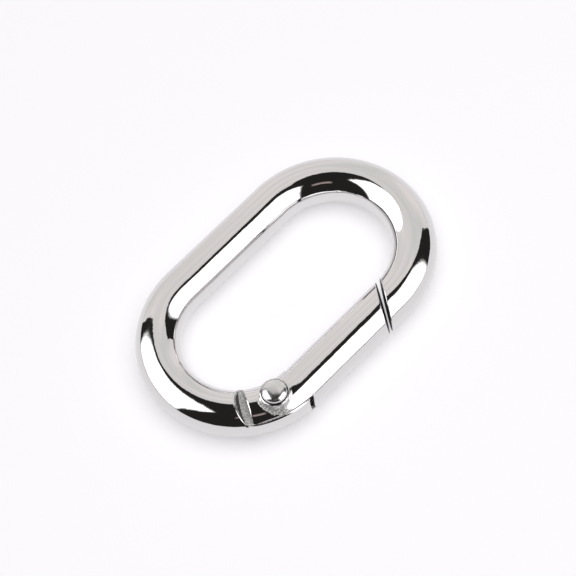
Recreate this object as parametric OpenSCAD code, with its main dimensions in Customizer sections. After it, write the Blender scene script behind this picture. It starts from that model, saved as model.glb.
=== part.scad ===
// Oval snap hook: a ring of round bar whose one long side is a sprung gate.
// The ring lies flat in XY with its underside on Z = 0. X runs along the ring,
// the gate is the -Y side, its hinge is near the -X end and its nose near the +X end.
// Lengths are in millimetres and angles in degrees.

/* [Ring] */
// Overall length of the closed ring
ring_l = 50; // [46:0.5:60]
// Overall width of the closed ring
ring_w = 31.2; // [29:0.2:34]
// Diameter of the round bar
bar_d = 6.8; // [6.4:0.1:7.4]

/* [Hinge] */
// Turn of the end bend between the pivot and the straight side
pivot_back = 20; // [16:1:24]
// Thickness of the ring's tongue between the gate's cheeks
tongue_t = 3.6; // [3:0.1:4]
// Radius of the tongue's round end about the pivot
tongue_r = 4.75; // [4.5:0.05:4.9]
// Gap between the tongue and each cheek
cheek_gap = 0.1; // [0.05:0.05:0.3]
// Distance from the pivot to the flat ends of the cheeks
cheek_l = 4.2; // [3.8:0.1:4.6]
// Gap between the corners of the cheeks and the ring's hollow shoulder
shoulder_gap = 0.4; // [0.3:0.1:0.8]
// Gap between the tongue's round end and the bottom of the gate's slot
web_gap = 0.5; // [0.3:0.1:0.8]

/* [Nose] */
// Distance of the gate's end face from the end of the straight side, on the bar's axis
nose_back = 1.65; // [1:0.05:3]
// Slant of the nose away from a square cut
nose_slant = 34; // [20:1:38]
// Gap between the closed gate and the nose
nose_gap = 0.4; // [0.2:0.1:0.8]
// Rounding of the edges of both end faces
edge_r = 0.6; // [0.3:0.1:0.9]

/* [Rivet] */
// Diameter of the rivet's shank
pin_d = 2.4; // [2:0.1:2.8]
// Running clearance of the shank in the tongue, on the radius
pin_play = 0.05; // [0.02:0.01:0.1]
// Clearance of the shank in the cheeks, on the radius
pin_seat = 0.02; // [0.01:0.01:0.05]
// Diameter of the domed head
head_d = 3.9; // [3.4:0.1:4.2]
// Height of the dome above its edge
head_h = 0.85; // [0.5:0.05:1.2]
// Depth of the recess that holds the edge of the head
head_sunk = 0.25; // [0.1:0.05:0.4]
// Gap round the head in its recess
head_gap = 0.08; // [0.05:0.01:0.15]
// Width of the rim round the recess
boss_rim = 0.2; // [0.15:0.05:0.4]
// Height of the boss above the top of the bar
boss_h = 0.7; // [0.4:0.1:1]
// Spread of the boss's foot over the bar
boss_foot = 0.45; // [0.2:0.05:0.8]
// Diameter of the spread tail on the underside
tail_d = 3.4; // [3:0.1:3.5]
// Height of the spread tail
tail_h = 0.4; // [0.2:0.05:0.45]
// Depth of the flat under the tail
tail_flat = 0.5; // [0.45:0.05:0.7]

/* [Spring] */
// Outer diameter of the coil
spring_d = 2.75; // [2.4:0.05:2.9]
// Diameter of the spring's wire
wire_d = 0.45; // [0.3:0.05:0.5]
// Solid metal between the end of the spring's bore and the gate's end face
bore_end = 5.4; // [4:0.1:8]
// Rise of one open turn of the spring
spring_pitch = 1.5; // [1.2:0.1:2]
// Clearance of the coil in its bore, on the radius
spring_play = 0.12; // [0.08:0.02:0.2]
// Distance of the spring's axis from the pivot, towards the inside of the ring
spring_in = 0.3; // [0:0.1:0.5]
// Distance from the pivot to the flat on the tongue that the spring bears on
seat_at = 3.9; // [3.7:0.05:4.1]
// Gap between the spring and the flat it bears on
seat_gap = 0.03; // [0.02:0.01:0.1]

/* [Hidden] */
$fn = 96;

// Steps of a rounded edge and its points round the bar, how far it laps into the bar,
// and how far the bar's plain cut stands back from where the rounding starts
edge_steps = 5;
edge_fn = 48;
edge_lap = 0.3;
edge_seam = 0.05;
// Sides of the spring's wire and stretches in one turn
wire_sides = 8;
turn_steps = 18;
// Length by which a cutting tool passes the surface that it cuts
over = 1;

bar_r = bar_d / 2;
bend_r = ring_w / 2 - bar_r;
half_straight = ring_l / 2 - bar_r - bend_r;
mid_z = bar_r;

// The pivot lies on the bar's axis. From there the axis leaves for the ends of the
// cheeks along a chord of the bend, and the cheeks' flat ends stand square to it.
pivot = [-half_straight - bend_r * sin(pivot_back), -bend_r * cos(pivot_back)];
chord_turn = asin(cheek_l / (2 * bend_r));
hinge_dir = 180 - pivot_back - chord_turn;
shoulder_r = norm([cheek_l, bar_r]) + shoulder_gap;
slot_t = tongue_t + 2 * cheek_gap;
slot_r = tongue_r + web_gap;

// Place of the gate's end face on the bar's axis. It looks towards -nose_slant.
nose = [half_straight - nose_back, -bend_r];

head_r = head_d / 2;
recess_r = head_r + head_gap;
boss_r = recess_r + boss_rim;
boss_z = bar_d + boss_h;
head_z = boss_z - head_sunk;
brim_h = head_sunk;
tail_flat_r = tail_d / 2 + head_gap;

// The bore runs from the tongue's flat towards the gate's end face
spring_y = pivot[1] + spring_in;
seat_x = pivot[0] + seat_at;
spring_l = nose[0] - bore_end - seat_x;
spring_bore_r = spring_d / 2 + spring_play;
coil_r = (spring_d - wire_d) / 2;

// X where a line through q, square to the direction a, meets the height y
function line_x(q, a, y) = q[0] - tan(a) * (y - q[1]);
function along(q, a, d) = q + d * [cos(a), sin(a)];

// Whole ring of round bar
module ring_bar() {
    for (s = [-1, 1]) {
        translate([s * half_straight, 0, mid_z]) rotate(-90 * s)
            rotate_extrude(angle = 180) translate([bend_r, 0]) circle(bar_r);
        translate([-half_straight, s * bend_r, mid_z]) rotate([0, 90, 0])
            cylinder(h = 2 * half_straight, r = bar_r);
    }
}

// Block over the gate's side of the ring, from hinge_at before the pivot
// to nose_at past the gate's end face
module gate_side(hinge_at, nose_at) {
    h = along(pivot, hinge_dir, hinge_at);
    n = along(nose, -nose_slant, nose_at);
    y_in = -bend_r / 2;
    y_out = -ring_w / 2 - over;
    translate([0, 0, -over]) linear_extrude(bar_d + 2 * over) polygon([
        [line_x(h, hinge_dir, y_in), y_in], [line_x(n, -nose_slant, y_in), y_in],
        [line_x(n, -nose_slant, y_out), y_out], [line_x(h, hinge_dir, y_out), y_out]]);
}

// Upright cylinder on the pivot
module on_pivot(r, z0, z1) {
    translate([pivot[0], pivot[1], z0]) cylinder(h = z1 - z0, r = r);
}

// Point at the angle a round a bar of radius r, on the plane that lies d past the
// gate's end face. Beyond the straight side the point follows the bend.
function end_point(r, a, d) = let(
    out = bend_r + r * cos(a),
    level = nose * [cos(nose_slant), -sin(nose_slant)] + d,
    x = (level - out * sin(nose_slant)) / cos(nose_slant),
    turn = asin((level - half_straight * cos(nose_slant)) / out) - nose_slant)
    x < half_straight ? [x, -out, mid_z + r * sin(a)]
    : [half_straight + out * sin(turn), -out * cos(turn), mid_z + r * sin(a)];

// Rounded end of the bar at a slanted face. The face lies face_at past the gate's
// end face, and the material is on the side that way (-1 or 1) names. The first ring
// of points stands inside the bar behind, the others follow the rounding.
module soft_end(face_at, way) {
    n = edge_fn;
    rings = concat([[bar_r - edge_lap, edge_r + edge_lap]],
        [for (i = [0 : edge_steps]) let(t = 90 * i / edge_steps)
            [bar_r - edge_r * (1 - cos(t)), edge_r * (1 - sin(t))]]);
    points = [for (s = rings, j = [0 : n - 1])
        end_point(s[0], 360 * j / n, face_at + way * s[1])];
    skin = [for (i = [0 : len(rings) - 2], j = [0 : n - 1], half = [0, 1])
        let(k = (j + 1) % n, a = i * n, b = a + n)
        half == 0 ? [a + j, b + j, b + k] : [a + j, b + k, a + k]];
    back = [for (j = [0 : n - 1]) j];
    front = [for (j = [n - 1 : -1 : 0]) (len(rings) - 1) * n + j];
    faces = concat(skin, [back, front]);
    polyhedron(points, way < 0 ? [for (f = faces) [for (i = [len(f) - 1 : -1 : 0]) f[i]]] : faces,
        convexity = 4);
}

// What stays of the ring's bar between the cheeks: a flat tongue with a round end
// about the pivot and a flat for the spring
module tongue_room() {
    z0 = mid_z - tongue_t / 2;
    difference() {
        union() {
            on_pivot(tongue_r, z0, z0 + tongue_t);
            translate([pivot[0], pivot[1], z0]) rotate(hinge_dir)
                translate([0, -bar_d, 0]) cube([shoulder_r + over, 2 * bar_d, tongue_t]);
        }
        translate([seat_x, pivot[1] - bar_d, z0 - over])
            cube([bar_d, 2 * bar_d, tongue_t + 2 * over]);
    }
}

// Fixed part of the ring, cast in one piece with its tongue and nose
module ring_body() color("silver") {
    difference() {
        union() {
            difference() {
                ring_bar();
                gate_side(0, nose_gap + edge_r + edge_seam);
                on_pivot(shoulder_r, -over, bar_d + over);
            }
            intersection() {
                ring_bar();
                tongue_room();
            }
        }
        on_pivot(pin_d / 2 + pin_play, -over, bar_d + over);
    }
    soft_end(nose_gap, 1);
}

// Sprung side, cast in one piece: two cheeks, a boss for the rivet's head,
// a slot for the tongue and a bore for the spring
module gate() color("gainsboro") {
    difference() {
        union() {
            intersection() {
                ring_bar();
                gate_side(cheek_l, -edge_r - edge_seam);
            }
            on_pivot(boss_r, mid_z + slot_t / 2, boss_z);
            translate([pivot[0], pivot[1], boss_z - 2 * boss_h])
                cylinder(h = boss_h, r1 = boss_r + boss_foot, r2 = boss_r);
        }
        on_pivot(slot_r, mid_z - slot_t / 2, mid_z + slot_t / 2);
        translate([pivot[0], pivot[1], mid_z - slot_t / 2]) rotate(hinge_dir)
            translate([0, -bar_d, 0]) cube([cheek_l + over, 2 * bar_d, slot_t]);
        on_pivot(pin_d / 2 + pin_seat, -over, boss_z + over);
        on_pivot(recess_r, head_z, boss_z + over);
        on_pivot(tail_flat_r, -over, tail_flat);
        translate([seat_x, spring_y, mid_z]) rotate([0, 90, 0])
            cylinder(h = spring_l, r = spring_bore_r);
    }
    soft_end(0, -1);
}

// Cap of a ball, wide at z = 0 and high towards +Z
module cap(r, h) {
    ball_r = (r * r + h * h) / (2 * h);
    intersection() {
        translate([0, 0, h - ball_r]) sphere(ball_r);
        cylinder(h = h + over, r = r);
    }
}

// Rivet: domed head in the boss, shank, and a tail spread on the underside
module hinge_rivet() color("lightgray") translate([pivot[0], pivot[1], 0]) {
    translate([0, 0, head_z]) cylinder(h = brim_h, r = head_r);
    translate([0, 0, head_z + brim_h]) cap(head_r, head_h);
    translate([0, 0, tail_flat]) cylinder(h = head_z - tail_flat, d = pin_d);
    translate([0, 0, tail_flat]) mirror([0, 0, 1]) cap(tail_d / 2, tail_h);
}

// Axis of the wire after t turns. The first and the last turn lie close, and as many
// open turns as fit stand between them.
spring_run = spring_l - seat_gap - wire_d;
spring_turns = 2 + floor((spring_run - 2 * wire_d) / spring_pitch);
open_pitch = (spring_run - 2 * wire_d) / (spring_turns - 2);
function coil_x(t) = t < 1 ? wire_d * t
    : t > spring_turns - 1 ? spring_run - wire_d * (spring_turns - t)
    : wire_d + open_pitch * (t - 1);
function wire_point(t, a) = let(r = coil_r + wire_d / 2 * cos(a)) [
    seat_x + seat_gap + wire_d / 2 + coil_x(t) + wire_d / 2 * sin(a),
    spring_y + r * cos(360 * t), mid_z + r * sin(360 * t)];

// Coil spring in the gate's bore, as a wire swept along its helix
module gate_spring() color("darkgray") {
    rings = spring_turns * turn_steps;
    points = [for (i = [0 : rings], j = [0 : wire_sides - 1])
        wire_point(i / turn_steps, 360 * j / wire_sides)];
    skin = [for (i = [0 : rings - 1], j = [0 : wire_sides - 1])
        let(k = (j + 1) % wire_sides, a = i * wire_sides, b = a + wire_sides)
        [a + j, b + j, b + k, a + k]];
    first = [for (j = [0 : wire_sides - 1]) j];
    last = [for (j = [wire_sides - 1 : -1 : 0]) rings * wire_sides + j];
    polyhedron(points, concat(skin, [first, last]), convexity = 10);
}

ring_body();
gate();
hinge_rivet();
gate_spring();
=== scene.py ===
"""Oval snap hook, dressed for the camera.

Four pieces replace the nodes of the CAD model: the cast ring, the cast gate, the domed
rivet and the gate's coil spring. Round them stand the camera, the mirrored studio with
its grey card, the lamp and the floor. Sizes are in millimetres unless a line says
otherwise, and Blender's are in metres.
"""

import logging  # noqa: E402
import math  # noqa: E402
from dataclasses import dataclass  # noqa: E402
from enum import Enum  # noqa: E402

import bmesh  # noqa: E402
import bpy  # noqa: E402
import numpy as np  # noqa: E402
from mathutils import Matrix, Vector  # noqa: E402

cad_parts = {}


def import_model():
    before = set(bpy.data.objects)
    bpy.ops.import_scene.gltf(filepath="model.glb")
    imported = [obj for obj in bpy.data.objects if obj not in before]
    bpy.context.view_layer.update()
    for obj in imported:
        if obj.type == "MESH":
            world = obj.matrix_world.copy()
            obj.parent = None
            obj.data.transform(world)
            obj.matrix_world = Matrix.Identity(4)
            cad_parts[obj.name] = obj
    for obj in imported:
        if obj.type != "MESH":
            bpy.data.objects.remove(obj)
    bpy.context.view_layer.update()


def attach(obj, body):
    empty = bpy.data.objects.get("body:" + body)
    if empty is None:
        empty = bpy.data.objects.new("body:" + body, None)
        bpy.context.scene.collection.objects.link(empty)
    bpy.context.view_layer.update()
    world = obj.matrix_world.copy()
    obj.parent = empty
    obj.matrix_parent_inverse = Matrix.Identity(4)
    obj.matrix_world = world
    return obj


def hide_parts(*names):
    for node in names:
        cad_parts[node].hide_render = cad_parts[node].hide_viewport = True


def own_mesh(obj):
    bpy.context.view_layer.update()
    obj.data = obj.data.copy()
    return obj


LOG = logging.getLogger("snap_hook")
MM = 0.001
WHITE = (1.0, 1.0, 1.0)
BLACK = (0.0, 0.0, 0.0)
BOX_LIGHT = (2.4, 2.4, 2.4)
# Places of a colour Mix node's factor, first and second colour, and of its result
MIX_INPUTS, MIX_OUTPUT = (0, 6, 7), 2
# Degrees to either side of a direction that take in the whole round
HALF_TURN = 180.0
# Octaves of the noise of fine pits and ragged rims
FINE = 3.0
# Depth in millimetres behind the faces at the nose down to which the metal is darkened as painted
# shade of the gap between them
SHADED_BEHIND = 0.06
# Rings of points on an end face, as shares of its radius
FACE_RINGS = (0.0, 0.3, 0.6, 0.85, 0.96)
# Share of a wall's height that the rounding over it takes where the wall is low
LOW_WALL_SHARE = 0.45
# Least length in millimetres that a direction is divided by
NOT_ZERO = 1e-6
# Metres within which points are welded, and length below which an edge is a sliver
WELD, SLIVER = 2e-6, 1e-7
# Degrees between faces from which an edge is sharp, and millimetres and degrees within
# which a corner of a face lies on the bar's skin
SHARP, ON_SKIN, WITH_SKIN = 33.0, 2e-3, 20.0


class Ease(Enum):
    """How a ramp among the shader nodes goes from 0 to 1."""

    STRAIGHT = "LINEAR"
    SOFT = "SMOOTHSTEP"


class Flank(Enum):
    """A flank of the tongue, by the angle round the bar of its middle."""

    OUTER = 0.0
    INNER = math.pi


def placed(name: str, data: bpy.types.ID) -> bpy.types.Object:
    """Makes an object at the origin from its data and puts it into the scene."""
    made = bpy.data.objects.new(name, data)
    bpy.context.scene.collection.objects.link(made)
    return made


@dataclass(frozen=True)
class Viewpoint:
    """Where the photograph was taken from.

    Attributes:
        azimuth: Degrees round the ring, 0 looking along +Y and 90 along -X.
        elevation: Degrees above the plane of the ring.
        roll: Degrees that the picture is turned.
        distance: Distance from the target in millimetres.
        target: Point in millimetres that falls on the picture's centre.
        lens: Focal length in millimetres.
        sensor: Width of the sensor in millimetres.
        clip: Least and greatest distance in metres that is drawn.
    """

    azimuth: float = -33.65
    elevation: float = 60.86
    roll: float = -13.83
    distance: float = 331.0
    target: tuple[float, float, float] = (1.882, 2.153, 0.0)
    lens: float = 140.006
    sensor: float = 36.0
    clip: tuple[float, float] = (0.01, 20.0)

    def back(self) -> Vector:
        """Returns the unit vector from the target to the camera."""
        a, e = math.radians(self.azimuth), math.radians(self.elevation)
        return Vector((math.sin(a) * math.cos(e), -math.cos(a) * math.cos(e), math.sin(e)))

    def build(self) -> bpy.types.Object:
        """Makes the camera and hands it to the scene.

        Returns:
            The camera object.
        """
        data = bpy.data.cameras.new("camera")
        data.sensor_width = self.sensor
        data.lens = self.lens
        data.clip_start, data.clip_end = self.clip
        camera = placed("camera", data)
        back = self.back()
        right = (-back).cross(Vector((0, 0, 1))).normalized()
        up = right.cross(-back)
        turn = math.radians(self.roll)
        rolled_right = math.cos(turn) * right + math.sin(turn) * up
        rolled_up = -math.sin(turn) * right + math.cos(turn) * up
        rotation = Matrix((rolled_right, rolled_up, back)).transposed().to_4x4()
        place = (Vector(self.target) + back * self.distance) * MM
        camera.matrix_world = Matrix.Translation(place) @ rotation
        bpy.context.scene.camera = camera
        return camera


class NodeTree:
    """Short names for making and joining shader nodes."""

    def __init__(self, tree: bpy.types.NodeTree) -> None:
        """Empties the tree that it will fill.

        Args:
            tree: The node tree of a material or world.
        """
        self.tree = tree
        tree.nodes.clear()

    def node(self, kind: str, **settings: object) -> bpy.types.Node:
        """Adds a node and sets its properties.

        Args:
            kind: Blender's name of the node type.
            **settings: Properties of the node.

        Returns:
            The new node.
        """
        made = self.tree.nodes.new(kind)
        for name, value in settings.items():
            setattr(made, name, value)
        return made

    def link(self, source: bpy.types.NodeSocket, target: bpy.types.NodeSocket) -> None:
        """Joins an output to an input."""
        self.tree.links.new(source, target)

    def math(self, operation: str, *values: object) -> bpy.types.NodeSocket:
        """Adds a Math node.

        Args:
            operation: The operation.
            *values: Numbers or output sockets for the inputs in turn.

        Returns:
            The node's output.
        """
        made = self.node("ShaderNodeMath", operation=operation)
        for socket, value in zip(made.inputs, values):
            if isinstance(value, (int, float)):
                socket.default_value = value
            else:
                self.link(value, socket)
        return made.outputs[0]

    def mix(self, factor: object, low: object, high: object) -> bpy.types.NodeSocket:
        """Adds a colour Mix node.

        Args:
            factor: Number or socket for the factor.
            low: Colour or socket at 0.
            high: Colour or socket at 1.

        Returns:
            The mixed colour.
        """
        made = self.node("ShaderNodeMix", data_type="RGBA")
        inputs = (made.inputs[k] for k in MIX_INPUTS)
        for socket, value in zip(inputs, (factor, low, high)):
            if isinstance(value, bpy.types.NodeSocket):
                self.link(value, socket)
            elif isinstance(value, (int, float)):
                socket.default_value = value
            else:
                socket.default_value = (*value, 1.0)
        return made.outputs[MIX_OUTPUT]

    def ramp(
        self, value: bpy.types.NodeSocket, low: float, high: float, ease: Ease = Ease.SOFT
    ) -> bpy.types.NodeSocket:
        """Adds a ramp that is 0 at one value and 1 at another.

        Args:
            value: Socket with the value.
            low: Value at which it is 0.
            high: Value at which it is 1, which may be the lesser one.
            ease: How it goes from 0 to 1.

        Returns:
            The ramp's output.
        """
        made = self.node("ShaderNodeMapRange", interpolation_type=ease.value)
        self.link(value, made.inputs["Value"])
        made.inputs["From Min"].default_value = low
        made.inputs["From Max"].default_value = high
        return made.outputs["Result"]

    def along(self, where: bpy.types.NodeSocket, way: object) -> bpy.types.NodeSocket:
        """Adds the dot product of a vector socket and a fixed direction."""
        made = self.node("ShaderNodeVectorMath", operation="DOT_PRODUCT")
        self.link(where, made.inputs[0])
        made.inputs[1].default_value = way
        return made.outputs["Value"]

    def noise(
        self, where: bpy.types.NodeSocket, scale: float, detail: float
    ) -> bpy.types.NodeSocket:
        """Adds noise from 0 to 1.

        Args:
            where: Socket with the place.
            scale: Number of its waves in a unit of length.
            detail: Octaves of finer noise.

        Returns:
            The noise.
        """
        made = self.node("ShaderNodeTexNoise")
        self.link(where, made.inputs["Vector"])
        made.inputs["Scale"].default_value = scale
        made.inputs["Detail"].default_value = detail
        return made.outputs[0]

    def show(self, shader: bpy.types.Node, output: str = "ShaderNodeOutputMaterial") -> None:
        """Joins a finished shader to the tree's output."""
        self.link(shader.outputs[0], self.node(output).inputs["Surface"])


def painted(name: str) -> tuple[bpy.types.Material, NodeTree]:
    """Makes a material and the empty node tree for it."""
    made = bpy.data.materials.new(name)
    made.use_nodes = True
    return made, NodeTree(made.node_tree)


@dataclass(frozen=True)
class Panel:
    """A flat studio panel as the part sees it, given by the directions of its corners.

    Attributes:
        corners: Pairs of degrees, from straight up and round from the camera's right.
            They run anticlockwise seen from below.
        colour: Light that the panel sends, on a scale where 1 is white.
        edge: Width of its soft border as the sine of an angle.
    """

    corners: tuple[tuple[float, float], ...]
    colour: tuple[float, float, float]
    edge: float = 0.02


@dataclass(frozen=True)
class Overhead:
    """A large soft lamp above the part that its mirrored surfaces do not show.

    Attributes:
        height: Height above the floor in metres.
        radius: Its radius in metres.
        place: Direction of its middle, as a panel's corner is given.
        level: Light on a white floor below its middle, on a scale where 1 is white.
    """

    height: float = 1.0
    radius: float = 0.75
    place: tuple[float, float] = (12.0, 315.0)
    level: float = 1.02

    def build(self, way: Vector) -> bpy.types.Object:
        """Makes the lamp.

        A disc seen from below its middle at the half angle a lights a white floor to its
        own radiance times sin a squared, and its radiance is its power over pi times its
        area.

        Args:
            way: Direction from the part to its middle.

        Returns:
            The lamp object.
        """
        light = bpy.data.lights.new("overhead", "AREA")
        light.shape = "DISK"
        light.size = 2 * self.radius
        share = self.radius**2 / (self.radius**2 + self.height**2)
        light.energy = self.level / share * math.pi * math.pi * self.radius**2
        made = placed("overhead", light)
        made.location = way * (self.height / way.z)
        made.visible_glossy = made.visible_camera = False
        return made


@dataclass(frozen=True)
class Studio:
    """The studio that the plating mirrors: two soft boxes, a streak, a card and the dark.

    Attributes:
        facing: Azimuth of the camera that the panels' directions are counted from.
        dark: Light from the parts of the room with no panel.
        panels: The far panels, later ones over earlier ones.
        card: The grey card that stands near the part on its far side.
        card_away: Distance of each of its corners from the origin in millimetres.
        card_middle: Direction of the point that its triangles fan out from.
        card_cool: Colour of the card's cooler parts.
        card_mottle: Number of its warm and cool parts in a metre.
        card_tones: Values of its noise at which it is all cool and all warm.
        overhead: The light that matt surfaces get from above.
    """

    facing: float
    dark: tuple[float, float, float] = (0.021, 0.02, 0.019)
    panels: tuple[Panel, ...] = (
        # The left soft box, the right one and the thin streak between them
        Panel(((88.1, 146.3), (30.5, 117.8), (28.9, 214.2), (87.9, 197.1)), BOX_LIGHT, 0.04),
        Panel(((84.8, 295.4), (29.8, 294.9), (23.5, 323.9), (28.6, 15.6), (88.8, 355.3),
               (89.7, 350.2), (88.8, 338.4)), BOX_LIGHT, 0.05),
        Panel(((39.0, 247.0), (47.0, 247.0), (47.0, 274.0), (39.0, 274.0)),
              (0.42, 0.34, 0.33), 0.03),
    )
    card: Panel = Panel(
        ((58.0, 27.0), (41.0, 24.3), (29.5, 26.3), (18.5, 38.4), (12.6, 12.8), (11.4, 25.9),
         (22.1, 108.4), (74.8, 138.1), (92.5, 140.9), (95.3, 21.6), (68.3, 23.3)),
        (0.99, 0.94, 0.93))
    card_away: tuple[float, ...] = (184.8,) * 3 + (300.0,) * 3 + (184.8,) * 5
    card_middle: tuple[float, float] = (50.0, 80.0)
    card_cool: tuple[float, float, float] = (0.80, 0.80, 0.78)
    card_mottle: float = 14.0
    card_tones: tuple[float, float] = (0.35, 0.65)
    overhead: Overhead = Overhead()

    def direction(self, zenith: float, azimuth: float) -> Vector:
        """Turns a corner into a unit vector in the frame of the part.

        Args:
            zenith: Degrees from straight up.
            azimuth: Degrees from the camera's right, anticlockwise seen from above.

        Returns:
            The direction.
        """
        z, a = math.radians(zenith), math.radians(azimuth + self.facing)
        return Vector((math.sin(z) * math.cos(a), math.sin(z) * math.sin(a), math.cos(z)))

    def build(self) -> bpy.types.World:
        """Makes the world whose sky holds the panels.

        Returns:
            The world.
        """
        world = bpy.data.worlds.new("studio")
        world.use_nodes = True
        bpy.context.scene.world = world
        tree = NodeTree(world.node_tree)
        way = tree.node("ShaderNodeTexCoord").outputs["Generated"]
        colour: object = self.dark
        for panel in self.panels:
            colour = tree.mix(self.mask(tree, way, panel), colour, panel.colour)
        ray = tree.node("ShaderNodeLightPath")
        colour = tree.mix(ray.outputs["Is Camera Ray"], colour, WHITE)
        shine = tree.node("ShaderNodeBackground")
        tree.link(colour, shine.inputs["Color"])
        tree.show(shine, "ShaderNodeOutputWorld")
        world.cycles_visibility.diffuse = False
        self.overhead.build(self.direction(*self.overhead.place))
        self.build_card()
        return world

    def build_card(self) -> bpy.types.Object:
        """Makes the grey card, which only shows in the part's mirrored surfaces.

        Its triangles fan out from a point inside it, so that its outline may have a notch.

        Returns:
            The card object.
        """
        outline = zip(self.card.corners, self.card_away)
        corners = [self.direction(*corner) * away * MM for corner, away in outline]
        middle = len(corners)
        corners.append(self.direction(*self.card_middle) * self.card_away[0] * MM)
        fan = [(middle, k, (k + 1) % middle) for k in range(middle)]
        mesh = bpy.data.meshes.new("card")
        mesh.from_pydata([tuple(corner) for corner in corners], [], fan)
        made = placed("card", mesh)
        paint, tree = painted("card_grey")
        where = tree.node("ShaderNodeTexCoord").outputs["Object"]
        mottle = tree.noise(where, self.card_mottle, detail=1.0)
        warm = tree.ramp(mottle, *self.card_tones, Ease.STRAIGHT)
        shine = tree.node("ShaderNodeEmission")
        tree.link(tree.mix(warm, self.card_cool, self.card.colour), shine.inputs["Color"])
        tree.show(shine)
        mesh.materials.append(paint)
        made.visible_camera = made.visible_diffuse = made.visible_shadow = False
        return made

    def mask(
        self, tree: NodeTree, way: bpy.types.NodeSocket, panel: Panel
    ) -> bpy.types.NodeSocket:
        """Adds the nodes that tell whether a direction meets a panel.

        Each side of a flat panel lies in one plane through the part, so a direction
        meets the panel when it is on the inner side of every such plane.

        Args:
            tree: The world's nodes.
            way: Socket with the direction.
            panel: The panel.

        Returns:
            A socket that is 1 inside the panel and 0 outside.
        """
        corners = [self.direction(*c) for c in panel.corners]
        middle = sum(corners, Vector()).normalized()
        result: object = 1.0
        for first, second in zip(corners, corners[1:] + corners[:1]):
            normal = first.cross(second).normalized()
            if normal.dot(middle) < 0:
                normal = -normal
            inside = tree.ramp(tree.along(way, normal), -panel.edge, panel.edge)
            result = tree.math("MULTIPLY", inside, result)
        return result


@dataclass(frozen=True)
class Floor:
    """Plain pale floor that the ring lies on.

    Attributes:
        half: Half its width in metres.
        colour: Its colour.
        white: Colour that camera and mirrored rays see whatever the light.
        share: Share of that colour.
    """

    half: float = 3.0
    colour: tuple[float, float, float] = (0.97, 0.95, 0.98)
    white: tuple[float, float, float] = (1.0, 0.985, 1.0)
    share: float = 0.45

    def build(self) -> bpy.types.Object:
        """Makes the floor.

        Returns:
            The floor object.
        """
        h = self.half
        mesh = bpy.data.meshes.new("floor")
        mesh.from_pydata([(-h, -h, 0), (h, -h, 0), (h, h, 0), (-h, h, 0)], [], [(0, 1, 2, 3)])
        made = placed("floor", mesh)
        paint, tree = painted("floor_paper")
        lit = tree.node("ShaderNodeBsdfDiffuse")
        lit.inputs["Color"].default_value = (*self.colour, 1.0)
        white = tree.node("ShaderNodeEmission")
        white.inputs["Color"].default_value = (*self.white, 1.0)
        ray = tree.node("ShaderNodeLightPath")
        seen = tree.math("MAXIMUM", ray.outputs["Is Camera Ray"], ray.outputs["Is Glossy Ray"])
        share = tree.node("ShaderNodeMixShader")
        tree.link(tree.math("MULTIPLY", seen, self.share), share.inputs["Fac"])
        tree.link(lit.outputs[0], share.inputs[1])
        tree.link(white.outputs[0], share.inputs[2])
        tree.show(share)
        mesh.materials.append(paint)
        return made


@dataclass(frozen=True)
class Zone:
    """A part of a piece that the polish did not reach, as a ring about the pivot, which may also
    be painted shade.

    Attributes:
        reach: Least and greatest distance from the pivot in plan, in millimetres.
        height: Least and greatest height.
        soft: Width of its soft border.
        facing: Direction in degrees from the pivot of its middle.
        spread: Degrees that it reaches to either side of that direction.
        plane: Direction across a flat that bounds it and the flat's distance from the
            origin, where it has one. The zone is what lies beyond.
        shade: How light the metal is in it. Below 1 it is darkened as painted shade; above 1 it is
            lighter and matt as well.
    """

    reach: tuple[float, float]
    height: tuple[float, float]
    soft: float = 0.05
    facing: float = 0.0
    spread: float = HALF_TURN
    plane: tuple[float, float, float, float] | None = None
    shade: float = 1.0


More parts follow.
